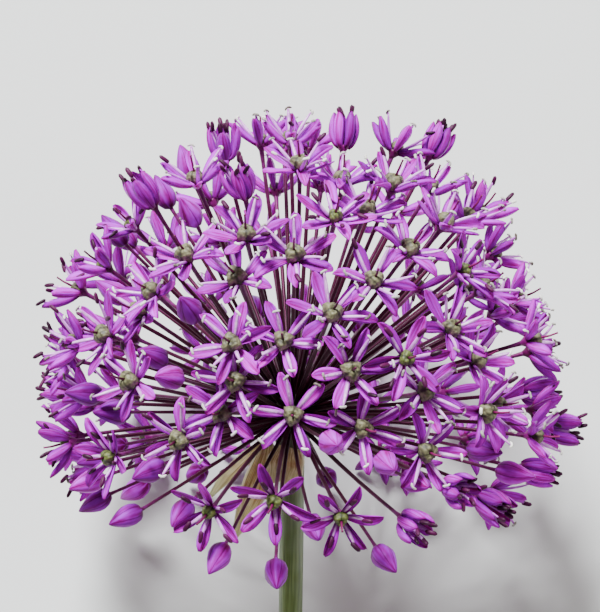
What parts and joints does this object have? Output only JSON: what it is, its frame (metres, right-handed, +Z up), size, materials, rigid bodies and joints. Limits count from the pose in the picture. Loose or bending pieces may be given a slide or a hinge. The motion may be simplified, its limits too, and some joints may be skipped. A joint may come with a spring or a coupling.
{
  "type": "allium flower head",
  "caption": "Ball-shaped umbel of violet six-tepalled florets on thin dark pedicels, on a cut length of its green scape, lying on its side.",
  "frame": {"origin": "on the surface it lies on, under the middle of the box around it", "axes": "+Z up; the scape runs down towards -Y and the top of the head points towards +Y and up; +X is to the right as seen from the side of the scape"},
  "size_m": [0.1084, 0.1418, 0.0966],
  "materials": {
    "floret": "fresh violet tepals with a satin sheen; pedicels dark maroon, ovaries grey-green",
    "scape": "smooth sage-green stalk with a waxy bloom",
    "spathe": "dry papery tan bract with darker veins"
  },
  "bodies": {
    "root": {"floret_spray_01": "floret", "floret_spray_02": "floret", "floret_spray_03": "floret", "floret_spray_04": "floret", "floret_spray_05": "floret", "floret_spray_06": "floret", "floret_spray_07": "floret", "floret_spray_08": "floret", "floret_spray_09": "floret", "floret_spray_10": "floret", "floret_spray_11": "floret", "floret_spray_12": "floret", "floret_spray_13": "floret", "floret_spray_14": "floret", "floret_spray_15": "floret", "floret_spray_16": "floret", "floret_spray_17": "floret", "floret_spray_18": "floret", "floret_spray_19": "floret", "floret_spray_20": "floret", "floret_spray_21": "floret", "floret_spray_22": "floret", "floret_spray_23": "floret", "floret_spray_24": "floret", "floret_spray_25": "floret", "floret_spray_26": "floret", "floret_spray_27": "floret", "floret_spray_28": "floret", "floret_spray_29": "floret", "floret_spray_30": "floret", "floret_spray_31": "floret", "floret_spray_32": "floret", "floret_spray_33": "floret", "floret_spray_34": "floret", "floret_spray_35": "floret", "floret_spray_36": "floret", "floret_spray_37": "floret", "floret_spray_38": "floret", "floret_spray_39": "floret", "floret_spray_40": "floret", "floret_spray_41": "floret", "floret_spray_42": "floret", "scape": "scape", "spathe_bract_broad": "spathe", "spathe_bract_curled": "spathe", "spathe_bract_long": "spathe"}
  },
  "joints": []
}
